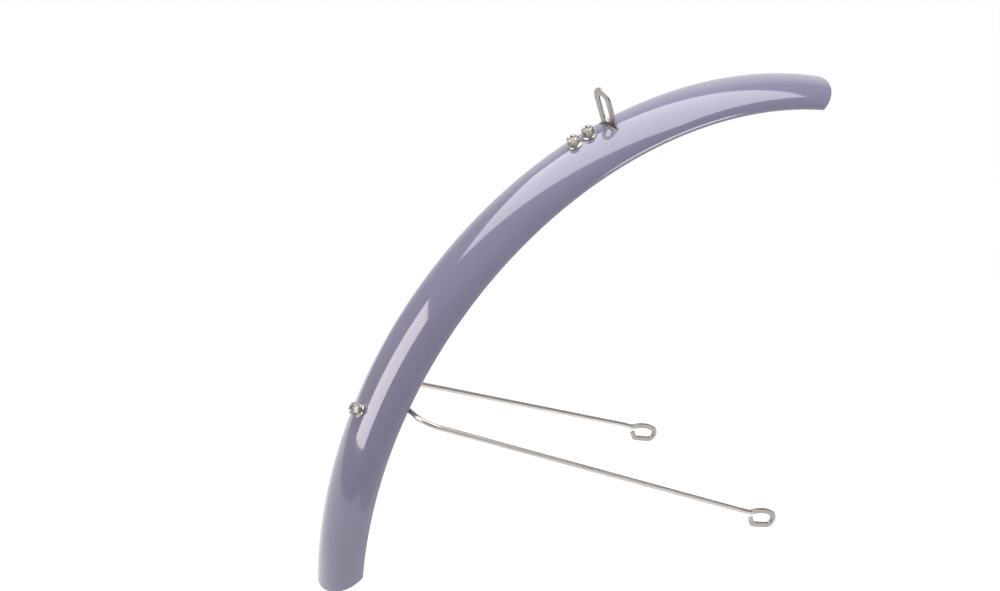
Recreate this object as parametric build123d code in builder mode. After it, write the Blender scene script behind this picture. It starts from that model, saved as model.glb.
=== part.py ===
"""Front bicycle mudguard: painted blade, slotted fork bracket and one-piece wire stay.

Millimetres. The origin is the centre of the bracket's slot. +X points forward along the fork-crown
bolt, +Y to the left side of the bicycle and +Z up along the fork. The wheel turns about an axle
that lies below the origin, parallel to Y. Angles are measured round that axle from the bracket,
and are positive behind it.
"""

import os
from math import cos, degrees, radians, sin, sqrt

from build123d import *

# Blade: half-oval section with rolled edges, bent round the wheel
crown_radius = 360.0
blade_width = 54.0
blade_depth = 20.0
sheet = 0.8
roll_radius = 1.7
roll_turn = 230.0
front_reach = 32.2
rear_reach = 68.2
front_cut_tilt = 31.0
rear_cut_tilt = 38.0

# Fork bracket: one strip, bent to a slotted tab and a curved foot
strip_width = 20.0
strip = 1.4
bend_radius = 1.1
tab_height = 30.0
slot_width = 9.0
slot_length = 22.0
slot_floor = 2.0
slit_clearance = 0.4
foot_first_bolt = 18.5
foot_bolt_pitch = 13.5
foot_end = 8.0

# Bolts, nuts and washers
bolt_diameter = 5.0
bolt_clearance = 0.2
thread_clearance = 0.05
head_diameter = 10.0
head_height = 2.8
head_rim = 1.0
nut_across_flats = 8.0
nut_height = 7.0
nut_flange_diameter = 11.4
nut_flange_rim = 0.5
nut_flange_slope = 0.6
nut_corner_drop = 0.6
nut_mouth = 0.4
bolt_end_recess = 1.0
washer_diameter = 14.0
washer_thickness = 1.5

# Stay: one wire with a loop round its bolt, two legs and two open eyes
wire_diameter = 4.0
stay_from_rear_end = 22.9
stay_offset = 14.7
loop_exit_radius = 3.0
rim_clearance = 0.8
shoulder_span = 92.0
shoulder_radius = 14.0
eye_span = 166.0
leg_drop = 325.6
leg_turn_in_radius = 40.0
eye_kick_radius = 9.0
eye_kick_turn = 24.0
eye_arch_radius = 34.0
eye_arch_fall = 12.0
eye_end_radius = 5.5
eye_spread = 7.0
eye_return = 13.4
eye_tip_radius = 4.0
eye_tip_turn = 50.0
eye_tip_length = 4.8
eye_thickness = 3.0
eye_flat_ramp = 5.0

# Places that follow from the sizes above
half_width = blade_width / 2
bolt_radius = bolt_diameter / 2
hole_radius = bolt_radius + bolt_clearance
wire_radius = wire_diameter / 2
crown_height = -(slot_length / 2 + slot_floor)
axle = Vector(0, 0, crown_height - crown_radius)
axle_line = Axis(axle, (0, 1, 0))
across = Vector(0, 1, 0)
oval_middle = crown_radius - blade_depth
stay_angle = rear_reach - stay_from_rear_end


def outward(angle):
    """Direction from the axle to the crown."""
    return Vector(-sin(radians(angle)), 0, cos(radians(angle)))


def rearward(angle):
    """Direction along the crown towards the blade's rear end."""
    return Vector(-cos(radians(angle)), 0, -sin(radians(angle)))


def section_plane(angle):
    """Plane across the blade, with its origin on the axle, x across and y outward."""
    return Plane(axle, x_dir=across, z_dir=rearward(angle) * -1)


def crown_plane(angle):
    """Plane on the crown, with x across, y rearward and z outward."""
    return Plane(axle + outward(angle) * crown_radius, x_dir=across, z_dir=outward(angle))


def end_plane(angle, tilt, side):
    """Plane that trims an end of the blade, with its normal pointing off the blade."""
    lean = radians(tilt)
    normal = rearward(angle) * (side * cos(lean)) - outward(angle) * sin(lean)
    return Plane(axle + outward(angle) * crown_radius, x_dir=across, z_dir=normal)


def seat_depth(width, inset):
    """How deep a flat face of a width lies when it meets the oval that is inset from the outside."""
    share = width / 2 / (half_width - inset)
    return inset + (blade_depth - inset) * (1 - sqrt(1 - share**2))


def arc_angle(length):
    """Angle round the axle of a length along the crown."""
    return degrees(length / crown_radius)


foot_bolt_planes = [
    crown_plane(arc_angle(foot_first_bolt)),
    crown_plane(arc_angle(foot_first_bolt + foot_bolt_pitch)),
]
foot_reach = arc_angle(foot_first_bolt + foot_bolt_pitch + foot_end)
stay_bolt_plane = crown_plane(stay_angle)

# Blade: the sheet's section runs from one rolled edge over the crown to the other
end_margin = degrees(blade_depth / oval_middle)
with BuildPart() as blade:
    with BuildSketch(section_plane(rear_reach + end_margin)):
        with BuildLine():
            roll_centre = (half_width - roll_radius, oval_middle)
            EllipticalCenterArc((0, oval_middle), half_width, blade_depth, 0, arc_size=90)
            outer_roll = CenterArc(roll_centre, roll_radius, 0, -roll_turn)
            inner_roll = CenterArc(roll_centre, roll_radius - sheet, 0, -roll_turn)
            Line(outer_roll @ 1, inner_roll @ 1)
            EllipticalCenterArc((0, oval_middle), half_width - sheet, blade_depth - sheet, 0, arc_size=90)
            mirror(about=Plane.YZ)
        make_face()
    revolve(axis=axle_line, revolution_arc=front_reach + rear_reach + 2 * end_margin)
    split(bisect_by=end_plane(-front_reach, front_cut_tilt, -1), keep=Keep.BOTTOM)
    split(bisect_by=end_plane(rear_reach, rear_cut_tilt, 1), keep=Keep.BOTTOM)
    with BuildSketch(crown_plane(0)):
        Rectangle(strip_width + 2 * slit_clearance, strip + 2 * slit_clearance)
    extrude(amount=blade_depth / 2, both=True, mode=Mode.SUBTRACT)
    with Locations(*foot_bolt_planes, stay_bolt_plane):
        Hole(hole_radius, depth=blade_depth / 2)
blade.part.label = "blade"

# Fork bracket: the foot follows the inside of the crown, and the tab stands up through the slit
foot_top = (half_width - sheet, blade_depth - sheet)
foot_underside = (foot_top[0] - strip, foot_top[1] - strip)
tab_end_radius = strip_width / 2
tab_end_height = crown_height + tab_height - tab_end_radius
oval_height = crown_height - blade_depth
with BuildPart() as crown_bracket:
    with BuildSketch(section_plane(foot_reach)):
        with Locations((0, oval_middle)):
            Ellipse(*foot_top)
            Ellipse(*foot_underside, mode=Mode.SUBTRACT)
        with Locations((0, crown_radius)):
            Rectangle(strip_width, 2 * blade_depth, mode=Mode.INTERSECT)
    revolve(axis=axle_line, revolution_arc=foot_reach)
    with BuildSketch(Plane.YZ):
        with Locations((0, tab_end_height)):
            Circle(tab_end_radius)
            Rectangle(strip_width, tab_end_height - oval_height, align=(Align.CENTER, Align.MAX))
        with Locations((0, oval_height)):
            Ellipse(*foot_underside, mode=Mode.SUBTRACT)
        SlotOverall(slot_length, slot_width, rotation=90, mode=Mode.SUBTRACT)
    extrude(amount=strip / 2, both=True)
    heel = crown_bracket.faces().sort_by(Axis.X)[-1].edges().sort_by(Axis.Z)[0]
    fillet(heel, bend_radius)
    with Locations(*foot_bolt_planes):
        Hole(hole_radius, depth=blade_depth / 2)
crown_bracket.part.label = "crown_bracket"


def round_head_bolt(seat):
    """Bolt along Z, with the crown at z = 0 and its head's flat face a seat's depth below it."""
    with BuildPart() as bolt:
        with BuildSketch(Plane.XZ):
            with BuildLine():
                tip = (0, nut_height - bolt_end_recess)
                head_base = -seat - head_height
                Polyline(
                    (0, head_base),
                    tip,
                    (bolt_radius, tip[1]),
                    (bolt_radius, -seat),
                    (head_diameter / 2, -seat),
                    (head_diameter / 2, -seat - head_rim),
                )
                dome = head_height - head_rim
                dome_radius = ((head_diameter / 2) ** 2 + dome**2) / (2 * dome)
                RadiusArc((head_diameter / 2, -seat - head_rim), (0, head_base), dome_radius)
            make_face()
        revolve(axis=Axis.Z)
    return bolt.part


def flange_nut():
    """Hexagon flange nut along Z that stands on the crown at z = 0."""
    corner_radius = nut_across_flats / sqrt(3)
    flange_radius = nut_flange_diameter / 2
    bore_radius = bolt_radius + thread_clearance
    with BuildPart() as nut:
        with BuildSketch():
            RegularPolygon(nut_across_flats / 2, 6, major_radius=False)
        extrude(amount=nut_height)
        with BuildSketch(Plane.XZ):
            Polygon(
                (0, 0),
                (corner_radius, 0),
                (corner_radius, nut_height - nut_corner_drop),
                (nut_across_flats / 2, nut_height),
                (0, nut_height),
                align=None,
            )
        revolve(axis=Axis.Z, mode=Mode.INTERSECT)
        with BuildSketch(Plane.XZ):
            Polygon(
                (0, 0),
                (flange_radius, 0),
                (flange_radius, nut_flange_rim),
                (nut_across_flats / 2, nut_flange_rim + nut_flange_slope),
                (0, nut_flange_rim + nut_flange_slope),
                align=None,
            )
        revolve(axis=Axis.Z)
        Hole(bore_radius)
        mouth = nut.edges().filter_by(GeomType.CIRCLE).group_by(Axis.Z)[-1].sort_by(SortBy.RADIUS)[0]
        chamfer(mouth, nut_mouth)
    return nut.part


# Bracket fasteners: each head's rim meets the hollow underside of the foot
nut_form = flange_nut()
bracket_bolt_form = round_head_bolt(seat_depth(head_diameter, sheet + strip))
with BuildPart() as bracket_bolts:
    with Locations(*foot_bolt_planes):
        add(bracket_bolt_form)
bracket_bolts.part.label = "bracket_bolts"

with BuildPart() as bracket_nuts:
    with Locations(*foot_bolt_planes):
        add(nut_form)
bracket_nuts.part.label = "bracket_nuts"

# Stay fasteners: the wire's loop lies between two washers, and the outer one touches the blade
outer_washer_top = seat_depth(washer_diameter, sheet)
wire_depth = outer_washer_top + washer_thickness + wire_radius
inner_washer_top = wire_depth + wire_radius
stay_bolt_form = round_head_bolt(inner_washer_top + washer_thickness)
with BuildPart() as stay_bolt:
    with Locations(stay_bolt_plane):
        add(stay_bolt_form)
stay_bolt.part.label = "stay_bolt"

with BuildPart() as stay_nut:
    with Locations(stay_bolt_plane):
        add(nut_form)
stay_nut.part.label = "stay_nut"

with BuildPart() as stay_washers:
    washer_tops = [stay_bolt_plane.offset(-outer_washer_top), stay_bolt_plane.offset(-inner_washer_top)]
    with BuildSketch(*washer_tops):
        Circle(washer_diameter / 2)
        Circle(hole_radius, mode=Mode.SUBTRACT)
    extrude(amount=-washer_thickness)
stay_washers.part.label = "stay_washers"

# Stay: the left half of the wire's path, from its loop to its eye
loop_radius = hole_radius + wire_radius
rim_bend_radius = roll_radius + rim_clearance + wire_radius
rim_middle = half_width - roll_radius
flank = rim_middle - rim_bend_radius
loop_exit = loop_radius + loop_exit_radius
wire_level = blade_depth + rim_bend_radius
kick_rise = sin(radians(eye_kick_turn))
arch_fall = sin(radians(eye_arch_fall))
kick_length = eye_kick_radius * kick_rise
arch_length = eye_arch_radius * (kick_rise + arch_fall)
eye_length = kick_length + arch_length + eye_end_radius * (1 - arch_fall)
turn_in_length = leg_turn_in_radius / 4
leg_plane = Plane(
    stay_bolt_plane.from_local_coords((0, -stay_offset, 0)),
    x_dir=across,
    z_dir=rearward(stay_angle),
)
eye_plane = Plane(
    leg_plane.from_local_coords((eye_span / 2, leg_drop, 0)),
    x_dir=outward(stay_angle) * -1,
    z_dir=across,
)
with BuildLine(stay_bolt_plane.offset(-wire_depth)) as loop_path:
    CenterArc((0, 0), loop_radius, 90, -90)
    Line((loop_radius, 0), (loop_radius, loop_exit_radius - stay_offset))
    CenterArc((loop_exit, loop_exit_radius - stay_offset), loop_exit_radius, 180, 90)
with BuildLine(leg_plane) as leg_path:
    arch_base = (loop_exit, blade_depth)
    EllipticalCenterArc(arch_base, flank - loop_exit, blade_depth - wire_depth, 270, arc_size=90)
    CenterArc((rim_middle, blade_depth), rim_bend_radius, 180, -90)
    FilletPolyline(
        (rim_middle, wire_level),
        (shoulder_span / 2, wire_level),
        (eye_span / 2, leg_drop - turn_in_length),
        (eye_span / 2, leg_drop),
        radius=[shoulder_radius, leg_turn_in_radius],
    )
with BuildLine(eye_plane) as eye_path:
    kick = JernArc((0, 0), (1, 0), eye_kick_radius, -eye_kick_turn)
    arch = JernArc(kick @ 1, kick % 1, eye_arch_radius, eye_kick_turn + eye_arch_fall)
    end_bend = JernArc(arch @ 1, arch % 1, eye_end_radius, 180 - eye_arch_fall - eye_spread)
    return_run = Line(end_bend @ 1, end_bend @ 1 + (end_bend % 1) * eye_return)
    tip_bend = JernArc(return_run @ 1, return_run % 1, eye_tip_radius, eye_tip_turn)
    Line(tip_bend @ 1, tip_bend @ 1 + (tip_bend % 1) * eye_tip_length)
wire_path = Wire([*loop_path.edges(), *leg_path.edges(), *eye_path.edges()])

with BuildPart() as stay:
    with BuildSketch(Plane(wire_path @ 0, z_dir=wire_path % 0)):
        Circle(wire_radius)
    sweep(path=wire_path)
    with BuildSketch(leg_plane):
        eye_end = leg_drop + eye_length + wire_diameter
        for side in (-1, 1):
            flat = eye_span / 2 + side * eye_thickness / 2
            clear = eye_span / 2 + side * wire_diameter
            Polygon(
                (flat, eye_end),
                (flat, leg_drop + eye_flat_ramp),
                (flat + side * eye_flat_ramp / 4, leg_drop),
                (clear, leg_drop),
                (clear, eye_end),
                align=None,
            )
    extrude(amount=eye_length, both=True, mode=Mode.SUBTRACT)
    mirror(about=Plane.XZ)
stay.part.label = "stay"

os.makedirs("parts", exist_ok=True)
pieces = (blade, crown_bracket, bracket_bolts, bracket_nuts, stay, stay_bolt, stay_nut, stay_washers)
for piece in pieces:
    export_step(piece.part, f"parts/{piece.part.label}.step")
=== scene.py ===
from math import acos, atan2, ceil, cos, degrees, hypot, pi, radians, sin, sqrt, tan

import bmesh
import bpy
from mathutils import Matrix, Vector


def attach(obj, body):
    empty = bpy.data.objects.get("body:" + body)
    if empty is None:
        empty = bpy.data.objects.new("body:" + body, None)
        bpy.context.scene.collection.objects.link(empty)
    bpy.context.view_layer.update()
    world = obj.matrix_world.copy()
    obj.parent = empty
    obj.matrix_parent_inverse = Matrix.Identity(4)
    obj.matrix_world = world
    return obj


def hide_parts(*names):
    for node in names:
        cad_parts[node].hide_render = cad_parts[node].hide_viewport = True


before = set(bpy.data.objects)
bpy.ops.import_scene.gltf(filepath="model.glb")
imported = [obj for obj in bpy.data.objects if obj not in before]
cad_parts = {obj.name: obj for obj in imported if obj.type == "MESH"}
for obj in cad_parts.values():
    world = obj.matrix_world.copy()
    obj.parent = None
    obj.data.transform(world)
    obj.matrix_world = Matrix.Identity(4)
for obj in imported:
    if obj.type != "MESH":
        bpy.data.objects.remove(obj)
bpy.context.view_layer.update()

# Sizes of the mudguard, in metres
MM = 0.001
crown_radius = 360 * MM
blade_width = 54 * MM
blade_depth = 20 * MM
sheet = 0.8 * MM
roll_radius = 1.7 * MM
roll_turn = radians(230)
front_reach = radians(32.2)
rear_reach = radians(68.2)
front_cut_tilt = radians(31)
rear_cut_tilt = radians(38)
blade_edge = 0.18 * MM

strip_width = 20 * MM
strip = 1.4 * MM
strip_edge = 0.22 * MM
fold_radius = 1.6 * MM
fold_sag = 4 * MM
tab_height = 30 * MM
slot_width = 9 * MM
slot_length = 22 * MM
slot_floor = 2 * MM
slot_cutter_length = 8 * MM
slit_clearance = 0.4 * MM
slit_behind_fold = 1.5 * MM
foot_first_bolt = 18.5 * MM
foot_bolt_pitch = 13.5 * MM
foot_end = 8 * MM

bolt_radius = 2.5 * MM
bolt_clearance = 0.2 * MM
bolt_edge = 0.2 * MM
bolt_tip_chamfer = 0.45 * MM
bolt_end_recess = 1.0 * MM
head_diameter = 10 * MM
head_height = 2.8 * MM
head_rim = 1.0 * MM
thread_clearance = 0.05 * MM
thread_pitch = 0.8 * MM
thread_depth = 0.3 * MM
thread_flank = 0.4 * thread_pitch
thread_below_tip = 1.2 * thread_pitch
nut_across_flats = 8 * MM
nut_height = 7.0 * MM
nut_flange_diameter = 11.4 * MM
nut_flange_rim = 0.5 * MM
nut_flange_slope = 0.6 * MM
nut_corner_drop = 0.6 * MM
nut_corner_clearance = 0.02 * MM
nut_face_inset = 0.15 * MM
nut_mouth = 0.4 * MM
nut_mouth_overlap = 0.1 * MM
nut_edge = 0.14 * MM
nut_least_edge = 0.03 * MM
bracket_nut_turns = (radians(-20), radians(-27))
stay_nut_turn = radians(14)
washer_diameter = 14 * MM
washer_thickness = 1.5 * MM

wire_diameter = 4 * MM
stay_angle = radians(45.3)
stay_offset = 14.7 * MM
loop_exit_radius = 3 * MM
rim_clearance = 0.8 * MM
shoulder_span = 92 * MM
shoulder_radius = 14 * MM
leg_drop = 325.6 * MM
leg_turn_in_radius = 40 * MM
eye_span = 166 * MM
eye_kick_radius = 9 * MM
eye_kick_turn = radians(24)
eye_arch_radius = 34 * MM
eye_arch_fall = radians(12)
eye_end_radius = 5.5 * MM
eye_spread = radians(7)
eye_return = 13.4 * MM
eye_tip_radius = 4 * MM
eye_tip_turn = radians(50)
eye_tip_length = 4.8 * MM
eye_thickness = 3 * MM
eye_flat_ramp = 5 * MM
eye_swell = 0.24 * MM
eye_edge = 0.35 * MM

# Fineness of the meshes; places nearer to each other than a touch count as the same
touch = 1e-6
oval_points = 144
blade_steps = 300
roll_steps = 20
foot_steps = 20
fold_segments = 6
tab_end_steps = 36
slot_facets = 64
hole_facets = 48
bolt_facets = 64
dome_steps = 12
disc_facets = 96
thread_facets = 48
wire_roundness = 10
bend_degrees = 7
least_bend_steps = 4
press_steps = 8

# Places that follow from the sizes
half_width = blade_width / 2
crown_height = -(slot_length / 2 + slot_floor)
axle = Vector((0, 0, crown_height - crown_radius))
across = Vector((0, 1, 0))
oval_middle = crown_radius - blade_depth
hole_radius = bolt_radius + bolt_clearance
wire_radius = wire_diameter / 2
rim_bend = roll_radius + rim_clearance + wire_radius
turn_in = leg_turn_in_radius / 4
leg_rise = leg_drop - turn_in - blade_depth - rim_bend
leg_spread = (eye_span - shoulder_span) / 2
leg_lean = atan2(leg_spread, leg_rise)


def outward(angle):
    """Direction from the axle to the crown, at an angle behind the bracket."""
    return Vector((-sin(angle), 0, cos(angle)))


def rearward(angle):
    """Direction along the crown towards the rear end."""
    return Vector((-cos(angle), 0, -sin(angle)))


def crown_place(angle):
    """Matrix of a place on the crown, with x across, y rearward and z outward."""
    turn = Matrix((across, rearward(angle), outward(angle))).transposed().to_4x4()
    return Matrix.Translation(axle + outward(angle) * crown_radius) @ turn


def seat_depth(width, inset):
    """How deep a flat face of a width lies when it meets the oval that is inset from the outside."""
    share = width / 2 / (half_width - inset)
    return inset + (blade_depth - inset) * (1 - sqrt(1 - share**2))


foot_last_bolt = foot_first_bolt + foot_bolt_pitch
foot_bolt_angles = [foot_first_bolt / crown_radius, foot_last_bolt / crown_radius]
foot_reach = (foot_last_bolt + foot_end) / crown_radius
outer_washer_top = seat_depth(washer_diameter, sheet)
wire_depth = outer_washer_top + washer_thickness + wire_radius
stay_bolt_seat = wire_depth + wire_radius + washer_thickness
bracket_bolt_seat = seat_depth(head_diameter, sheet + strip)


# Modelling steps that several pieces share
def clear_selection():
    """Leaves no object selected."""
    bpy.ops.object.select_all(action="DESELECT")


def choose(first, *others):
    """Selects pieces, with the first one active."""
    clear_selection()
    for piece in (first, *others):
        piece.select_set(True)
    bpy.context.view_layer.objects.active = first


def select_all():
    """Selects all of the mesh that is in edit mode."""
    bpy.ops.mesh.select_all(action="SELECT")


def edit(piece):
    """Takes a piece into edit mode, all selected."""
    choose(piece)
    bpy.ops.object.mode_set(mode="EDIT")
    select_all()


def end():
    """Goes back to object mode."""
    bpy.ops.object.mode_set(mode="OBJECT")


def begin(name):
    """Takes the primitive that was just added into edit mode, all selected, under a name."""
    piece = bpy.context.object
    piece.name = name
    piece.data.name = name
    bpy.ops.object.transform_apply(location=True, rotation=True, scale=True)
    bpy.ops.object.mode_set(mode="EDIT")
    bpy.ops.mesh.select_mode(type="VERT")
    select_all()
    return piece


def pick(piece, kind, test):
    """Selects the piece's verts, edges or faces whose middle passes a test."""
    bpy.ops.mesh.select_mode(type={"verts": "VERT", "edges": "EDGE", "faces": "FACE"}[kind])
    bpy.ops.mesh.select_all(action="DESELECT")
    mesh = bmesh.from_edit_mesh(piece.data)
    for part in getattr(mesh, kind):
        if kind == "verts":
            middle = part.co
        elif kind == "edges":
            middle = (part.verts[0].co + part.verts[1].co) / 2
        else:
            middle = part.calc_center_median()
        if test(middle):
            part.select_set(True)
    mesh.select_flush_mode()
    bmesh.update_edit_mesh(piece.data)


def point(name, place):
    """Starts a piece as one selected point."""
    clear_selection()
    bpy.ops.mesh.primitive_plane_add(size=MM)
    piece = begin(name)
    bpy.ops.mesh.merge(type="CENTER")
    bpy.ops.transform.translate(value=place)
    return piece


def extrude(step):
    """Extrudes the selection by a step."""
    bpy.ops.mesh.extrude_region_move(TRANSFORM_OT_translate={"value": step})


def spin(steps, angle, center, axis):
    """Spins the selection by the right-hand rule; the operator itself turns the other way."""
    bpy.ops.mesh.spin(steps=steps, angle=-angle, center=center, axis=axis)


def finish_with(piece, kind, name, **settings):
    """Adds a modifier with its settings and applies it."""
    choose(piece)
    modifier = piece.modifiers.new(name, kind)
    for key, value in settings.items():
        setattr(modifier, key, value)
    bpy.ops.object.modifier_apply(modifier=name)


def round_edges(piece, name, width, segments, angle):
    """Rounds the edges that turn by more than an angle in degrees."""
    finish_with(piece, "BEVEL", name, width=width, segments=segments, limit_method="ANGLE",
                angle_limit=radians(angle))


def cut(piece, cutter, operation="DIFFERENCE"):
    """Cuts or joins another closed piece, which is used up."""
    finish_with(piece, "BOOLEAN", "cut", object=cutter, operation=operation, solver="EXACT")
    bpy.data.objects.remove(cutter)


def smooth(piece, angle):
    """Shades the piece smooth, apart from edges that turn by more than an angle in degrees."""
    choose(piece)
    bpy.ops.object.shade_smooth_by_angle(angle=radians(angle))


def keep_flats(piece):
    """Lets only the rounded edges bend the light, so that the large faces beside them look flat."""
    finish_with(piece, "WEIGHTED_NORMAL", "flat_faces", keep_sharp=True)


def face_outward(piece):
    """Merges doubles and points the faces of a closed piece outwards."""
    edit(piece)
    bpy.ops.mesh.remove_doubles(threshold=touch)
    bpy.ops.mesh.normals_make_consistent(inside=False)
    end()


def clean(piece, least=touch):
    """Takes out edges that are too short to see, and faces without area."""
    edit(piece)
    bpy.ops.mesh.remove_doubles(threshold=least)
    bpy.ops.mesh.dissolve_degenerate(threshold=least)
    bpy.ops.mesh.delete_loose()
    end()


def drill(piece, place, radius):
    """Bores a round hole through the piece along a place's z."""
    clear_selection()
    bpy.ops.mesh.primitive_cylinder_add(vertices=hole_facets, radius=radius, depth=blade_depth)
    cutter = begin("drill")
    end()
    cutter.data.transform(place)
    cut(piece, cutter)


def finished(piece, nodes, slot):
    """Puts the piece on the model in place of its solids, with a finish."""
    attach(piece, "root")
    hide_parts(*nodes)
    piece.data.materials.clear()
    piece.data.materials.append(finishes[slot])


def oval_half(name, width, depth):
    """Upper half of an oval across the blade at the bracket, as a line of points."""
    clear_selection()
    bpy.ops.mesh.primitive_circle_add(vertices=oval_points, radius=1, rotation=(0, pi / 2, 0))
    piece = begin(name)
    pick(piece, "verts", lambda p: p.z < -10 * touch)
    bpy.ops.mesh.delete(type="VERT")
    select_all()
    bpy.ops.transform.resize(value=(1, width, depth), center_override=(0, 0, 0))
    bpy.ops.transform.translate(value=axle + Vector((0, 0, oval_middle)))
    return piece


def sweep_round_axle(start, turn, steps):
    """Spins the selected section round the axle; a positive turn goes to the rear."""
    to_start = Matrix.Translation(axle) @ Matrix.Rotation(-start, 4, "Y") @ Matrix.Translation(-axle)
    piece = bpy.context.object
    end()
    piece.data.transform(to_start)
    edit(piece)
    spin(steps=steps, angle=turn, center=axle, axis=-across)


# Blade
def trim(angle, tilt, side):
    """Cuts an end of the blade on a plane that leans in towards the axle."""
    place = axle + outward(angle) * crown_radius
    normal = rearward(angle) * (side * cos(tilt)) - outward(angle) * sin(tilt)
    select_all()
    bpy.ops.mesh.bisect(plane_co=place, plane_no=normal, clear_outer=True)


def blade_piece():
    """One sheet with rolled edges, swept round the wheel, with slanted ends, a slit and three holes."""
    piece = oval_half("mudguard_blade", half_width, blade_depth)
    rim_height = axle.z + oval_middle
    for side in (-1, 1):
        rim = side * half_width
        pick(piece, "verts", lambda p: abs(p.y - rim) < touch and p.z < rim_height + touch)
        centre = (0, side * (half_width - roll_radius), rim_height)
        spin(steps=roll_steps, angle=roll_turn, center=centre, axis=(-side, 0, 0))
    end_margin = blade_depth / oval_middle
    reach = front_reach + rear_reach + 2 * end_margin
    sweep_round_axle(-front_reach - end_margin, reach, blade_steps)
    select_all()
    bpy.ops.mesh.remove_doubles(threshold=touch / 10)
    trim(-front_reach, front_cut_tilt, -1)
    trim(rear_reach, rear_cut_tilt, 1)
    slit_front = strip / 2 + slit_clearance
    slit_rear = -strip / 2 - slit_behind_fold
    slit_side = strip_width / 2 + slit_clearance
    for line in ((slit_front, 0, 0), (slit_rear, 0, 0), (0, slit_side, 0), (0, -slit_side, 0)):
        select_all()
        bpy.ops.mesh.bisect(plane_co=line, plane_no=line)
    pick(piece, "faces", lambda p: slit_rear < p.x < slit_front and abs(p.y) < slit_side
         and p.z > rim_height)
    bpy.ops.mesh.delete(type="FACE")
    select_all()
    bpy.ops.mesh.normals_make_consistent(inside=False)
    end()
    crown_face = max(piece.data.polygons, key=lambda face: face.center.z)
    if crown_face.normal.z < 0:
        piece.data.flip_normals()
    finish_with(piece, "SOLIDIFY", "sheet", thickness=sheet, offset=-1, use_even_offset=True)
    for angle in (*foot_bolt_angles, stay_angle):
        drill(piece, crown_place(angle), hole_radius)
    round_edges(piece, "paint_edge", blade_edge, 2, 50)
    clean(piece)
    smooth(piece, 40)
    return piece


# Fork bracket
def bracket_piece():
    """One strip: a foot under the crown, a fold, and a slotted tab with a round end."""
    inset = sheet + strip / 2
    piece = oval_half("fork_bracket", half_width - inset, blade_depth - inset)
    sweep_round_axle(0, foot_reach, foot_steps)
    half_strip = strip_width / 2
    for side in (-1, 1):
        select_all()
        bpy.ops.mesh.bisect(plane_co=(0, side * half_strip, 0), plane_no=(0, side, 0), clear_outer=True)
    tab_end_height = crown_height + tab_height - half_strip
    pick(piece, "verts", lambda p: abs(p.x) < touch)
    extrude((0, 0, tab_height))
    top = max(v.co.z for v in bmesh.from_edit_mesh(piece.data).verts)
    bpy.ops.transform.resize(value=(1, 1, 0), center_override=(0, 0, top))
    bpy.ops.transform.translate(value=(0, 0, tab_end_height - top))
    pick(piece, "verts", lambda p: p.z > tab_end_height - touch and p.y > half_strip - touch)
    spin(steps=tab_end_steps, angle=pi, center=(0, 0, tab_end_height), axis=(1, 0, 0))
    pick(piece, "verts", lambda p: p.z > tab_end_height - touch)
    bpy.ops.mesh.remove_doubles(threshold=touch)
    bpy.ops.mesh.edge_face_add()
    fold_height = axle.z + crown_radius - inset
    pick(piece, "edges", lambda p: abs(p.x) < touch
         and fold_height - fold_sag < p.z < fold_height + touch)
    bpy.ops.mesh.bevel(offset=fold_radius, segments=fold_segments, affect="EDGES")
    select_all()
    bpy.ops.mesh.normals_make_consistent(inside=False)
    end()
    finish_with(piece, "SOLIDIFY", "strip", thickness=strip, offset=0, use_even_offset=True)
    cut(piece, slot_cutter())
    for angle in foot_bolt_angles:
        drill(piece, crown_place(angle), hole_radius)
    round_edges(piece, "deburred_edge", strip_edge, 3, 50)
    clean(piece)
    smooth(piece, 35)
    return piece


def slot_cutter():
    """Round bar along X, drawn out upwards and downwards to the slot's length."""
    clear_selection()
    bpy.ops.mesh.primitive_cylinder_add(vertices=slot_facets, radius=slot_width / 2,
                                        depth=slot_cutter_length, rotation=(0, pi / 2, 0))
    cutter = begin("slot_cutter")
    for side in (-1, 1):
        pick(cutter, "verts", lambda p: p.z * side > touch)
        bpy.ops.transform.translate(value=(0, 0, side * (slot_length - slot_width) / 2))
    end()
    return cutter


# Bolts and nuts, each modelled upright with the crown at z = 0
def round_bolt(name, seat):
    """Round-head bolt whose head's flat face is a seat's depth under the crown."""
    tip = nut_height - bolt_end_recess
    head_radius = head_diameter / 2
    dome = head_height - head_rim
    dome_radius = (head_radius**2 + dome**2) / (2 * dome)
    dome_turn = acos(1 - dome / dome_radius)
    dome_centre = (0, 0, -seat - head_height + dome_radius)
    piece = point(name, (0, 0, tip))
    extrude((bolt_radius - bolt_tip_chamfer, 0, 0))
    extrude((bolt_tip_chamfer, 0, -bolt_tip_chamfer))
    extrude((0, 0, bolt_tip_chamfer - tip - seat))
    extrude((head_radius - bolt_radius, 0, 0))
    extrude((0, 0, -head_rim))
    spin(steps=dome_steps, angle=dome_turn, center=dome_centre, axis=(0, 1, 0))
    select_all()
    spin(steps=bolt_facets, angle=2 * pi, center=(0, 0, 0), axis=(0, 0, 1))
    end()
    face_outward(piece)
    round_edges(piece, "turned_edge", bolt_edge, 2, 40)
    smooth(piece, 30)
    return piece


def turned_disc(name, radius, straight, taper, top_radius):
    """Disc that stands on z = 0, straight at first and then tapered.

    It is turned by half a facet, so that no facet's edge meets a corner of the nut.
    """
    clear_selection()
    bpy.ops.mesh.primitive_cylinder_add(vertices=disc_facets, radius=radius, depth=straight,
                                        location=(0, 0, straight / 2), rotation=(0, 0, pi / disc_facets))
    piece = begin(name)
    pick(piece, "faces", lambda p: p.z > straight - touch and p.xy.length < touch)
    extrude((0, 0, taper))
    share = top_radius / radius
    bpy.ops.transform.resize(value=(share, share, 1), center_override=(0, 0, straight + taper))
    end()
    return piece


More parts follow.
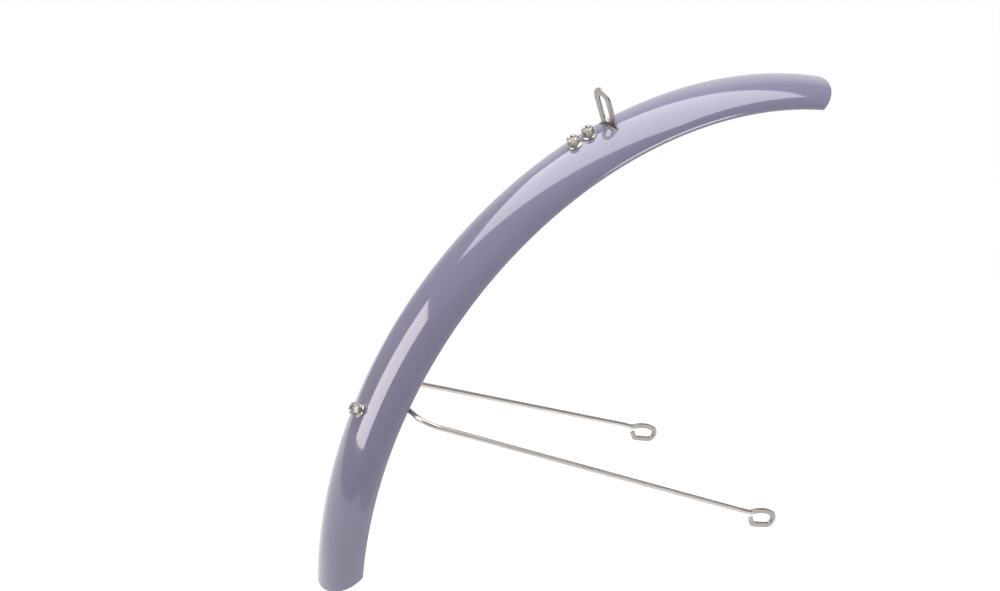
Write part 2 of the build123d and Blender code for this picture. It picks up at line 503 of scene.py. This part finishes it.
def thread_turns(name, radius, low, high):
    """Closed ridge of a thread that runs up inside a bore."""
    piece = point(name, (radius + thread_clearance, 0, low))
    extrude((-thread_depth, 0, thread_flank))
    extrude((thread_depth, 0, thread_flank))
    extrude((0, 0, -2 * thread_flank))
    select_all()
    bpy.ops.mesh.remove_doubles(threshold=touch)
    end()
    turns = (high - low - 2 * thread_flank) / thread_pitch
    steps = int(thread_facets * turns)
    finish_with(piece, "SCREW", "thread", angle=2 * pi * turns, screw_offset=thread_pitch * turns,
                steps=steps, render_steps=steps, axis="Z", use_normal_calculate=True)
    edit(piece)
    bpy.ops.mesh.fill_holes(sides=3)
    end()
    face_outward(piece)
    return piece


def flange_nut(name):
    """Hexagon nut with a sloped flange, crowned corners and a threaded bore."""
    corner_radius = nut_across_flats / sqrt(3)
    face_radius = nut_across_flats / 2 - nut_face_inset
    bore_radius = bolt_radius + thread_clearance
    clear_selection()
    bpy.ops.mesh.primitive_cylinder_add(vertices=6, radius=corner_radius, depth=nut_height,
                                        location=(0, 0, nut_height / 2))
    piece = begin(name)
    end()
    crowned = turned_disc("nut_crown", corner_radius + nut_corner_clearance,
                          nut_height - nut_corner_drop, nut_corner_drop, face_radius)
    cut(piece, crowned, "INTERSECT")
    flange = turned_disc("nut_flange", nut_flange_diameter / 2, nut_flange_rim, nut_flange_slope,
                         face_radius)
    cut(piece, flange, "UNION")
    drill(piece, Matrix.Identity(4), bore_radius)
    mouth_start = bore_radius - nut_mouth_overlap
    mouth_end = bore_radius + nut_mouth + nut_mouth_overlap
    mouth = turned_disc("nut_mouth", mouth_start, nut_mouth_overlap, mouth_end - mouth_start, mouth_end)
    mouth.data.transform(Matrix.Translation((0, 0, nut_height - nut_mouth - 2 * nut_mouth_overlap)))
    cut(piece, mouth)
    clean(piece, nut_least_edge)
    round_edges(piece, "tumbled_edge", nut_edge, 3, 24)
    clean(piece)
    smooth(piece, 30)
    keep_flats(piece)
    thread = thread_turns("nut_thread", bore_radius, nut_height - bolt_end_recess - thread_below_tip,
                          nut_height - nut_mouth / 2)
    choose(piece, thread)
    bpy.ops.object.join()
    return piece


def placed(form, name, angles, turns):
    """Copies of a form at places on the crown, each turned a little, as one piece."""
    copies = []
    for angle, turn in zip(angles, turns):
        copy = form.copy()
        copy.data = form.data.copy()
        bpy.context.scene.collection.objects.link(copy)
        copy.data.transform(crown_place(angle) @ Matrix.Rotation(turn, 4, "Z"))
        copies.append(copy)
    choose(*copies)
    if len(copies) > 1:
        bpy.ops.object.join()
    copies[0].name = name
    copies[0].data.name = name
    return copies[0]


# Stay
class WireBender:
    """Bends one wire from a place and a heading, by straight runs and round bends."""

    def __init__(self, name, place, heading):
        self.piece = point(name, place)
        self.place = place.copy()
        self.heading = heading.copy()

    def straight(self, length):
        """Goes straight on for a length."""
        extrude(self.heading * length)
        self.place += self.heading * length

    def bend(self, radius, turn, axis):
        """Turns round an axis by the right-hand rule."""
        centre = self.place + axis.cross(self.heading) * radius
        steps = max(least_bend_steps, ceil(degrees(turn) / bend_degrees))
        spin(steps=steps, angle=turn, center=centre, axis=axis)
        turned = Matrix.Rotation(turn, 3, axis)
        self.place = centre + turned @ (self.place - centre)
        self.heading = turned @ self.heading


def stay_piece():
    """One wire: half is bent from the bolt's loop to the eye, mirrored, and given its thickness."""
    out, rear = outward(stay_angle), rearward(stay_angle)
    bolt_place = axle + out * (crown_radius - wire_depth)
    loop_radius = hole_radius + wire_radius
    rim_middle = half_width - roll_radius
    arch_radius = rim_middle - rim_bend - loop_radius - loop_exit_radius
    wire = WireBender("wire_stay", bolt_place + rear * loop_radius, across)
    wire.bend(loop_radius, pi / 2, -out)
    wire.straight(stay_offset - loop_exit_radius)
    wire.bend(loop_exit_radius, pi / 2, out)
    wire.bend(arch_radius, pi / 2, rear)
    wire.straight(blade_depth - wire_depth - arch_radius)
    wire.bend(rim_bend, pi / 2, -rear)

    shoulder_turn = pi / 2 - leg_lean
    shoulder_tangent = shoulder_radius * tan(shoulder_turn / 2)
    turn_in_tangent = leg_turn_in_radius * tan(leg_lean / 2)
    wire.straight(shoulder_span / 2 - rim_middle - shoulder_tangent)
    wire.bend(shoulder_radius, shoulder_turn, rear)
    wire.straight(hypot(leg_spread, leg_rise) - shoulder_tangent - turn_in_tangent)
    wire.bend(leg_turn_in_radius, leg_lean, rear)
    wire.straight(turn_in - turn_in_tangent)

    wire.bend(eye_kick_radius, eye_kick_turn, -across)
    wire.bend(eye_arch_radius, eye_kick_turn + eye_arch_fall, across)
    wire.bend(eye_end_radius - eye_swell, pi - eye_arch_fall - eye_spread, across)
    wire.straight(eye_return)
    wire.bend(eye_tip_radius, eye_tip_turn, across)
    wire.straight(eye_tip_length)
    end()

    finish_with(wire.piece, "MIRROR", "other_leg", use_axis=(False, True, False), merge_threshold=touch)
    bpy.ops.object.convert(target="CURVE")
    curve = bpy.context.object.data
    curve.bevel_depth = wire_radius
    curve.bevel_resolution = wire_roundness
    curve.use_fill_caps = True
    for place in curve.splines[0].points:
        into_eye = (depth_below_crown(place.co.xyz) - leg_drop) / eye_flat_ramp
        place.radius = 1 + min(max(into_eye, 0), 1) * eye_swell / wire_radius
    bpy.ops.object.convert(target="MESH")
    piece = bpy.context.object
    face_outward(piece)
    press_eyes(piece)
    round_edges(piece, "pressed_edge", eye_edge, 2, 35)
    smooth(piece, 40)
    keep_flats(piece)
    return piece


def depth_below_crown(place):
    """How far a place on the stay lies below the crown at the stay's bolt."""
    return crown_radius - (place - axle).dot(outward(stay_angle))


def press_eyes(piece):
    """Presses both sides of each eye flat, in steps that ease into the round legs."""
    edit(piece)
    for side in (-1, 1):
        for face in (-1, 1):
            for step in range(press_steps):
                depth = leg_drop + eye_flat_ramp * step / press_steps
                half = wire_radius + (eye_thickness / 2 - wire_radius) * (step + 1) / press_steps
                flat = side * eye_span / 2 + face * half
                pick(piece, "verts", lambda p: p.y * side > 0 and depth_below_crown(p) > depth
                     and (p.y - flat) * face > 0)
                bpy.ops.transform.resize(value=(1, 0, 1), center_override=(0, flat, 0))
    end()


# Node helpers
def nodes_of(owner):
    """Empty node tree of a material or a world."""
    owner.use_nodes = True
    owner.node_tree.nodes.clear()
    return owner.node_tree


def add(tree, kind, links=None, **settings):
    """Adds a node, with its settings, its input values and its links by socket name."""
    node = tree.nodes.new(kind)
    for key, value in settings.items():
        setattr(node, key, value)
    for socket, source in (links or {}).items():
        if isinstance(source, bpy.types.NodeSocket):
            tree.links.new(source, node.inputs[socket])
        else:
            node.inputs[socket].default_value = source
    return node


def span(tree, source, low, high, low_value, high_value):
    """A value that goes from a low to a high one as a mask does."""
    share = add(tree, "ShaderNodeMapRange", {"Value": source, "From Min": low, "From Max": high,
                                             "To Min": low_value, "To Max": high_value})
    return share.outputs["Result"]


def noise(tree, coords, scale, detail, roughness):
    """A cloudy mask."""
    clouds = add(tree, "ShaderNodeTexNoise", {"Vector": coords, "Scale": scale, "Detail": detail,
                                              "Roughness": roughness})
    return clouds.outputs["Fac"]


def bumped(tree, height, strength, distance):
    """A normal that follows a mask's height."""
    bump = add(tree, "ShaderNodeBump", {"Height": height, "Strength": strength, "Distance": distance})
    return bump.outputs["Normal"]


def measure(tree, operation, first, second):
    """One number from two vectors."""
    maths = add(tree, "ShaderNodeVectorMath", {0: first, 1: second}, operation=operation)
    return maths.outputs["Value"]


def larger(tree, first, second):
    """The larger of two numbers."""
    return add(tree, "ShaderNodeMath", {0: first, 1: second}, operation="MAXIMUM").outputs[0]


def blended(tree, share, first, second):
    """Two shaders, blended by the second one's share."""
    return add(tree, "ShaderNodeMixShader", {0: share, 1: first, 2: second}).outputs[0]


def show(tree, shader, kind="ShaderNodeOutputMaterial"):
    """Puts a shader on the surface."""
    add(tree, kind, {"Surface": shader})


def mask_group(name, numbers, mask):
    """Node group that makes a mask from coordinates and numbers, with its inputs and its mask's socket."""
    group = bpy.data.node_groups.new(name, "ShaderNodeTree")
    for number, default in numbers.items():
        socket = group.interface.new_socket(number, in_out="INPUT", socket_type="NodeSocketFloat")
        socket.default_value = default
    group.interface.new_socket("Coords", in_out="INPUT", socket_type="NodeSocketVector")
    group.interface.new_socket(mask, in_out="OUTPUT", socket_type="NodeSocketFloat")
    given = group.nodes.new("NodeGroupInput").outputs
    return group, given, group.nodes.new("NodeGroupOutput").inputs[mask]


def cloudy_group():
    """Soft uneven film: a mask of broad clouds with finer clouds over them."""
    numbers = {"Broad": 20.0, "Fine": 400.0, "Fine Share": 0.3}
    group, given, mask = mask_group("uneven_film", numbers, "Mask")
    broad = noise(group, given["Coords"], given["Broad"], 2.0, 0.5)
    fine = noise(group, given["Coords"], given["Fine"], 3.0, 0.6)
    mixed = add(group, "ShaderNodeMix", {0: given["Fine Share"], 2: broad, 3: fine}, data_type="FLOAT")
    group.links.new(mixed.outputs[0], mask)
    return group


def drawn_group():
    """Fine lines along a metal's length, as a die or an abrasive belt leaves them."""
    group, given, lines = mask_group("drawn_lines", {"Fineness": 900.0, "Stretch": 0.03}, "Lines")
    scale = add(group, "ShaderNodeCombineXYZ", {"X": 1.0, "Y": 1.0, "Z": given["Stretch"]}).outputs[0]
    coords = add(group, "ShaderNodeVectorMath", {0: given["Coords"], 1: scale}, operation="MULTIPLY")
    group.links.new(noise(group, coords.outputs[0], given["Fineness"], 4.0, 0.65), lines)
    return group


# Finishes
colour_limits = (0.35, 0.65)
gloss_limits = (0.3, 0.7)
lines_shift = 0.5
# Painted shade: share of the wire's colour that is left at the ends of the eyes
eye_shade_share = 0.69


def new_finish(name):
    """A material, its node tree and the piece's own coordinates."""
    material = bpy.data.materials.new(name)
    tree = nodes_of(material)
    return material, tree, add(tree, "ShaderNodeTexCoord").outputs["Object"]


def film_mask(tree, coords, broad, fine, fine_share):
    """Mask of the uneven film."""
    film = add(tree, "ShaderNodeGroup", {"Coords": coords, "Broad": broad, "Fine": fine,
                                         "Fine Share": fine_share}, node_tree=uneven_film)
    return film.outputs["Mask"]


def ramp(tree, mask, low_colour, high_colour):
    """Two colours, blended by a mask."""
    share = span(tree, mask, *colour_limits, 0, 1)
    blend = add(tree, "ShaderNodeMix", {0: share, 6: (*low_colour, 1), 7: (*high_colour, 1)},
                data_type="RGBA")
    return blend.outputs[2]


def surface(tree, links):
    """The shader and its output."""
    show(tree, add(tree, "ShaderNodeBsdfPrincipled", links).outputs["BSDF"])


def paint_finish():
    """Lavender-grey gloss paint under a clear coat, with a little orange peel."""
    material, tree, coords = new_finish("lavender_grey_paint")
    film = film_mask(tree, coords, broad=16.0, fine=2600.0, fine_share=0.45)
    peel = noise(tree, coords, scale=300.0, detail=1.5, roughness=0.45)
    surface(tree, {
        "Base Color": ramp(tree, film, (0.161, 0.144, 0.222), (0.175, 0.157, 0.240)),
        "Roughness": span(tree, film, *gloss_limits, 0.09, 0.14),
        "Normal": bumped(tree, peel, strength=0.4, distance=0.04 * MM),
        "IOR": 1.5, "Coat Weight": 1.0, "Coat Roughness": 0.02, "Coat IOR": 1.55,
    })
    return material


def shaded_along_z(tree, colour, place, low, high, share):
    """Painted shade: darkens a colour to a share of itself along Z."""
    height = add(tree, "ShaderNodeSeparateXYZ", {0: place}).outputs["Z"]
    left = span(tree, height, low, high, 1.0, share)
    return add(tree, "ShaderNodeVectorMath", {0: colour, "Scale": left}, operation="SCALE").outputs[0]


def drawn_finish(name, light, dark, turn, lean, fineness, gloss, eye_shade=None):
    """Satin stainless steel with lines along its length, which leans outwards on both sides."""
    material, tree, coords = new_finish(name)
    turned = add(tree, "ShaderNodeMapping", {"Vector": coords, "Rotation": (0, turn, 0),
                                             "Location": (0, 0, -lines_shift)}).outputs["Vector"]
    mirrored = add(tree, "ShaderNodeVectorMath", {0: turned}, operation="ABSOLUTE").outputs[0]
    along = add(tree, "ShaderNodeMapping", {"Vector": mirrored, "Rotation": (lean, 0, 0)})
    lines = add(tree, "ShaderNodeGroup", {"Coords": along.outputs["Vector"], "Fineness": fineness},
                node_tree=drawn_lines).outputs["Lines"]
    film = film_mask(tree, coords, broad=60.0, fine=900.0, fine_share=0.3)
    colour = ramp(tree, lines, dark, light)
    # Painted shade: the colour is darkened along Z towards the eyes' ends
    if eye_shade:
        colour = shaded_along_z(tree, colour, mirrored, *eye_shade)
    surface(tree, {
        "Base Color": colour, "Metallic": 1.0,
        "Roughness": span(tree, film, *gloss_limits, *gloss),
        "Normal": bumped(tree, lines, strength=0.12, distance=0.03 * MM),
    })
    return material


def plated_finish():
    """Bright nickel plating, a little cloudy."""
    material, tree, coords = new_finish("bright_nickel")
    film = film_mask(tree, coords, broad=260.0, fine=2200.0, fine_share=0.5)
    surface(tree, {
        "Base Color": ramp(tree, film, (0.50, 0.46, 0.42), (0.64, 0.60, 0.55)), "Metallic": 1.0,
        "Roughness": span(tree, film, *gloss_limits, 0.18, 0.30),
    })
    return material


uneven_film = cloudy_group()
drawn_lines = drawn_group()
# Where the painted shade on the eyes begins, in the wire's turned coordinates
eye_start = lines_shift - axle.dot(outward(stay_angle)) - crown_radius + leg_drop
finishes = {
    "paint": paint_finish(),
    "bracket_steel": drawn_finish(
        "satin_strip", light=(0.41, 0.375, 0.355), dark=(0.30, 0.272, 0.258), turn=0, lean=0,
        fineness=1100.0, gloss=(0.26, 0.36)),
    "wire_steel": drawn_finish(
        "satin_wire", light=(0.61, 0.565, 0.53), dark=(0.50, 0.46, 0.43), turn=stay_angle, lean=leg_lean,
        fineness=1400.0, gloss=(0.24, 0.34),
        # Painted shade on the eyes, eased in over the press ramp
        eye_shade=(eye_start, eye_start + eye_flat_ramp, eye_shade_share)),
    "plating": plated_finish(),
}

# The mudguard's pieces
finished(blade_piece(), ["blade"], "paint")
finished(bracket_piece(), ["crown_bracket"], "bracket_steel")
finished(stay_piece(), ["stay"], "wire_steel")

nut = flange_nut("flange_nut")
bracket_nuts = placed(nut, "bracket_flange_nuts", foot_bolt_angles, bracket_nut_turns)
finished(bracket_nuts, ["bracket_nuts"], "plating")
finished(placed(nut, "stay_flange_nut", [stay_angle], [stay_nut_turn]), ["stay_nut"], "plating")
bpy.data.objects.remove(nut)
bracket_bolt = round_bolt("bracket_bolt", bracket_bolt_seat)
bracket_bolts = placed(bracket_bolt, "bracket_round_bolts", foot_bolt_angles, (0, 0))
finished(bracket_bolts, ["bracket_bolts"], "plating")
bpy.data.objects.remove(bracket_bolt)
stay_bolt = round_bolt("stay_bolt_form", stay_bolt_seat)
finished(placed(stay_bolt, "stay_round_bolt", [stay_angle], (0,)), ["stay_bolt"], "plating")
bpy.data.objects.remove(stay_bolt)
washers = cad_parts["stay_washers"]
for slot in washers.material_slots:
    slot.material = finishes["plating"]

# Studio: set out level with the ground under the wheel, seen along the photograph's line
fork_lean = radians(18.18)
upright = Matrix.Translation(axle) @ Matrix.Rotation(fork_lean, 4, "Y")
tyre_radius = 0.349
studio_radius = 4.0
studio_facets = 96
wall_segments, wall_rings = 48, 24

view_turn = radians(-30.12)
view_rise = radians(23.61)
view_distance = 1.38410
view_right = -0.17757
view_up = 0.16481
focal_share = 1.62695
sensor_width = 36.0
clip_start = 0.01

lamp_distance = 2.0
overhead_height = 1.5
fill_turn, fill_rise = 120, 30
fill_least, fill_most = 0.05, 1.25

floor_grey = 0.55
floor_glow = 0.35
fade_start, fade_end = 0.7, 1.6
wall_grey = 0.45
backdrop_turn, backdrop_rise = 33, 12
backdrop_edge, backdrop_full = 0.62, 0.85
backdrop_clearness = 0.6
grey_floor_lift = 0.002
grey_floor_edge = (-0.36, -1.09, 0)
grey_floor_limit = (-0.315, 1, 0)


def camera_view():
    """The camera, where the photograph was taken from."""
    level = cos(view_rise)
    back = Vector((sin(view_turn) * level, -cos(view_turn) * level, sin(view_rise)))
    right = Vector((cos(view_turn), sin(view_turn), 0))
    up = back.cross(right)
    turn = Matrix((right, up, back)).transposed().to_4x4()
    place = back * view_distance + right * view_right + up * view_up
    data = bpy.data.cameras.new("camera")
    data.sensor_fit = "HORIZONTAL"
    data.sensor_width = sensor_width
    data.lens = sensor_width * focal_share
    data.clip_start = clip_start
    camera = bpy.data.objects.new("camera", data)
    camera.matrix_world = upright @ Matrix.Translation(place) @ turn
    bpy.context.scene.collection.objects.link(camera)
    bpy.context.scene.camera = camera


def direction(turn, rise):
    """Level direction at a turn from +Y towards +X, raised by an angle, in degrees."""
    turn, rise = radians(turn), radians(rise)
    return Vector((sin(turn) * cos(rise), cos(turn) * cos(rise), sin(rise)))


def softbox(name, place, aim, long_way, length, width, radiance, colour=(1, 1, 1)):
    """Rectangular light that faces a point, with its long side along a direction."""
    data = bpy.data.lights.new(name, "AREA")
    data.shape = "RECTANGLE"
    data.size = length
    data.size_y = width
    data.energy = radiance * pi * length * width
    data.color = colour
    light = bpy.data.objects.new(name, data)
    back = (place - aim).normalized()
    side = (long_way - back * long_way.dot(back)).normalized()
    turn = Matrix((side, back.cross(side), back)).transposed().to_4x4()
    light.matrix_world = upright @ Matrix.Translation(place) @ turn
    light.visible_camera = False
    bpy.context.scene.collection.objects.link(light)


def studio_lights():
    """Lamps that the paint mirrors as the long band, the stripe by the stay's nut and the rim's line."""
    band_spot = Vector((-0.10, 0, 0.28))
    up = Vector((0, 0, 1))
    along = Vector((0.607, -0.794, 0))
    aside = Vector((0.794, 0.607, 0))
    overhead = band_spot + (along * 0.42 + aside * 0.18 + up) * overhead_height
    softbox("overhead_softbox", overhead, overhead - up, along,
            length=3.0 * overhead_height, width=1.0 * overhead_height, radiance=2.75)

    stripe_spot = Vector((-0.30, -0.01, 0.20))
    beside = stripe_spot + direction(-75, 20.6) * lamp_distance
    softbox("side_softbox", beside, stripe_spot, direction(15, -3.5),
            length=1.30, width=1.29, radiance=4.2, colour=(1, 0.96, 0.95))

    rim_spot = Vector((-0.07, -0.027, 0.33))
    rim_turn = 148
    low = rim_spot + direction(rim_turn, -9) * lamp_distance
    softbox("rim_strip", low, rim_spot, direction(rim_turn + 90, 0),
            length=0.42, width=0.22, radiance=5.0)


def seen_white(tree, others):
    """One for rays from the camera, and for mirrored and clear rays, and another value for the rest."""
    path = add(tree, "ShaderNodeLightPath").outputs
    either = larger(tree, path["Is Camera Ray"], path["Is Glossy Ray"])
    seen = larger(tree, either, path["Is Transmission Ray"])
    return span(tree, seen, 0, 1, others, 1.0)


def white_surround():
    """White where it is seen or mirrored; for matt surfaces a fill, stronger from the front right."""
    world = bpy.data.worlds.new("white_surround")
    bpy.context.scene.world = world
    tree = nodes_of(world)
    heading = add(tree, "ShaderNodeTexCoord").outputs["Generated"]
    front_right = upright.to_3x3() @ direction(fill_turn, fill_rise)
    facing = measure(tree, "DOT_PRODUCT", heading, front_right)
    fill = span(tree, facing, -1, 1, fill_least, fill_most)
    light = add(tree, "ShaderNodeBackground", {"Color": (1, 1, 1, 1),
                                               "Strength": seen_white(tree, fill)})
    show(tree, light.outputs[0], "ShaderNodeOutputWorld")


def matt_grey(tree, grey):
    """Matt shader of one grey."""
    return add(tree, "ShaderNodeBsdfDiffuse", {"Color": (grey, grey, grey, 1)}).outputs[0]


def floor_finish():
    """Matt white floor that fades into the white surround, and is clear from underneath."""
    material, tree, coords = new_finish("white_floor")
    from_axle = measure(tree, "DISTANCE", coords, axle)
    seen = seen_white(tree, 0.0)
    far = span(tree, from_axle, fade_start, fade_end, 0, 1)
    fade = add(tree, "ShaderNodeMath", {0: far, 1: seen}, operation="MULTIPLY").outputs[0]
    strength = span(tree, seen, 0, 1, 0, floor_glow)
    glow = add(tree, "ShaderNodeEmission", {"Strength": strength}).outputs[0]
    lit = add(tree, "ShaderNodeAddShader", {0: matt_grey(tree, floor_grey), 1: glow}).outputs[0]
    white = add(tree, "ShaderNodeEmission", {"Strength": 1.0}).outputs[0]
    clear = add(tree, "ShaderNodeBsdfTransparent").outputs[0]
    under = add(tree, "ShaderNodeNewGeometry").outputs["Backfacing"]
    show(tree, blended(tree, under, blended(tree, fade, lit, white), clear))
    return material


def floor():
    """Round floor under the wheel."""
    clear_selection()
    bpy.ops.mesh.primitive_circle_add(vertices=studio_facets, radius=studio_radius, fill_type="NGON")
    piece = begin("floor")
    bpy.ops.transform.translate(value=(0, 0, -tyre_radius))
    end()
    piece.data.transform(upright)
    piece.data.materials.append(floor_finish())


def wall_finish():
    """Matt grey that thins out softly towards the white backdrop behind the mudguard."""
    material, tree, coords = new_finish("grey_wall")
    level = add(tree, "ShaderNodeMapping", {"Vector": coords, "Location": axle,
                                            "Rotation": (0, fork_lean, 0)},
                vector_type="TEXTURE").outputs["Vector"]
    backdrop = direction(backdrop_turn, backdrop_rise) / studio_radius
    facing = measure(tree, "DOT_PRODUCT", level, backdrop)
    thinness = span(tree, facing, backdrop_edge, backdrop_full, 0, backdrop_clearness)
    clear = add(tree, "ShaderNodeBsdfTransparent").outputs[0]
    show(tree, blended(tree, thinness, matt_grey(tree, wall_grey), clear))
    return material


def studio_walls():
    """Grey walls, and a grey floor on the camera's side, which only mirrored rays meet."""
    clear_selection()
    bpy.ops.mesh.primitive_uv_sphere_add(segments=wall_segments, ring_count=wall_rings,
                                         radius=studio_radius)
    piece = begin("studio_walls")
    pick(piece, "faces", lambda p: p.z < 0)
    bpy.ops.mesh.delete(type="FACE")
    bpy.ops.mesh.primitive_circle_add(vertices=studio_facets, radius=studio_radius,
                                      location=(0, 0, grey_floor_lift), fill_type="NGON")
    bpy.ops.mesh.bisect(plane_co=grey_floor_edge, plane_no=grey_floor_limit, clear_outer=True)
    end()
    piece.data.transform(upright @ Matrix.Translation((0, 0, -tyre_radius)))
    piece.data.materials.append(wall_finish())
    piece.visible_camera = False
    piece.visible_diffuse = False
    piece.visible_shadow = False


camera_view()
studio_lights()
white_surround()
floor()
studio_walls()
bpy.context.scene.view_settings.view_transform = "Standard"
